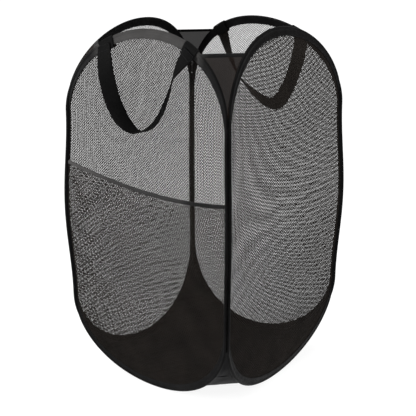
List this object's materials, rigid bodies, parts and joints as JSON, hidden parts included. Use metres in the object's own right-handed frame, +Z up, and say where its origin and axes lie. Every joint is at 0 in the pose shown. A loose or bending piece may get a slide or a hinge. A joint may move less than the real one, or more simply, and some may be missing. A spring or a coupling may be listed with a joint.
{
  "type": "pop up laundry hamper",
  "caption": "Tall open-topped laundry hamper of black net walls on spring-wire hoops, with cloth gussets, a cloth floor, an outside pocket and webbing carry handles; it folds flat.",
  "frame": {"origin": "middle of the footprint at floor level", "axes": "+Z up through the open top, -Y out of the wall with the pocket, +X to that wall's right when it is seen from outside"},
  "size_m": [0.344, 0.3996, 0.6],
  "materials": {
    "binding_tape": "woven polyester tape with a dull sheen",
    "spring_wire": "drawn spring steel",
    "ferrule_steel": "crimped steel tube",
    "net": "fine black polyester net",
    "gusset_cloth": "thin woven polyester, slightly see-through, warm black",
    "floor_cloth": "coated woven polyester, matt",
    "pocket_tape": "woven polyester tape, grey sheen",
    "webbing": "woven polypropylene webbing"
  },
  "bodies": {
    "front_frame": {"front_rim_binding": "binding_tape", "front_wire_hoop": "spring_wire", "front_hoop_ferrule": "ferrule_steel", "front_mesh_panel": "net", "pocket_mesh": "net", "pocket_hem": "pocket_tape", "front_handle_loop_left": "webbing", "front_handle_loop_right": "webbing", "base_panel": "floor_cloth", "front_right_top_gusset": "gusset_cloth", "front_right_gusset_hem": "binding_tape", "front_right_base_gusset": "floor_cloth", "front_right_seam": "binding_tape", "front_left_top_gusset": "gusset_cloth", "front_left_gusset_hem": "binding_tape", "front_left_base_gusset": "floor_cloth", "front_left_seam": "binding_tape"},
    "right_frame": {"right_rim_binding": "binding_tape", "right_wire_hoop": "spring_wire", "right_hoop_ferrule": "ferrule_steel", "right_mesh_panel": "net", "back_right_top_gusset": "gusset_cloth", "back_right_gusset_hem": "binding_tape", "back_right_base_gusset": "floor_cloth", "back_right_seam": "binding_tape"},
    "left_frame": {"left_rim_binding": "binding_tape", "left_wire_hoop": "spring_wire", "left_hoop_ferrule": "ferrule_steel", "left_mesh_panel": "net", "back_left_top_gusset": "gusset_cloth", "back_left_gusset_hem": "binding_tape", "back_left_base_gusset": "floor_cloth", "back_left_seam": "binding_tape"},
    "back_frame": {"back_rim_binding": "binding_tape", "back_wire_hoop": "spring_wire", "back_hoop_ferrule": "ferrule_steel", "back_mesh_panel": "net", "back_handle_loop_left": "webbing", "back_handle_loop_right": "webbing"},
    "front_handle": {"front_handle_strap": "webbing"},
    "back_handle": {"back_handle_strap": "webbing"}
  },
  "joints": [
    {"name": "right_fold", "type": "hinge", "parent": "front_frame", "child": "right_frame", "pos_m": [0.169, -0.178, 0.3], "axis": [0, 0, -1], "range_deg": [0, 72], "stiffness_Nm_per_rad": 0.05, "deforming": ["front_right_top_gusset", "front_right_gusset_hem", "front_right_base_gusset", "front_right_seam", "back_right_top_gusset", "back_right_gusset_hem", "back_right_base_gusset", "back_right_seam", "base_panel"]},
    {"name": "left_fold", "type": "hinge", "parent": "front_frame", "child": "left_frame", "pos_m": [-0.1515, -0.1605, 0.3], "axis": [0, 0, -1], "range_deg": [0, 72], "deforming": ["front_left_top_gusset", "front_left_gusset_hem", "front_left_base_gusset", "front_left_seam"]},
    {"name": "back_fold", "type": "hinge", "parent": "left_frame", "child": "back_frame", "pos_m": [-0.169, 0.178, 0.3], "axis": [0, 0, -1], "range_deg": [-72, 0], "deforming": ["back_left_top_gusset", "back_left_gusset_hem", "back_left_base_gusset", "back_left_seam"]},
    {"name": "front_handle_swing", "type": "hinge", "parent": "front_frame", "child": "front_handle", "pos_m": [0, -0.1606, 0.5741], "axis": [-1, 0, 0], "range_deg": [0, 165]},
    {"name": "back_handle_swing", "type": "hinge", "parent": "back_frame", "child": "back_handle", "pos_m": [0, 0.1606, 0.5741], "axis": [1, 0, 0], "range_deg": [0, 165]}
  ],
  "couplings": [
    {"joint": "left_fold", "follows": "right_fold", "ratio": 1},
    {"joint": "back_fold", "follows": "right_fold", "ratio": -1}
  ]
}
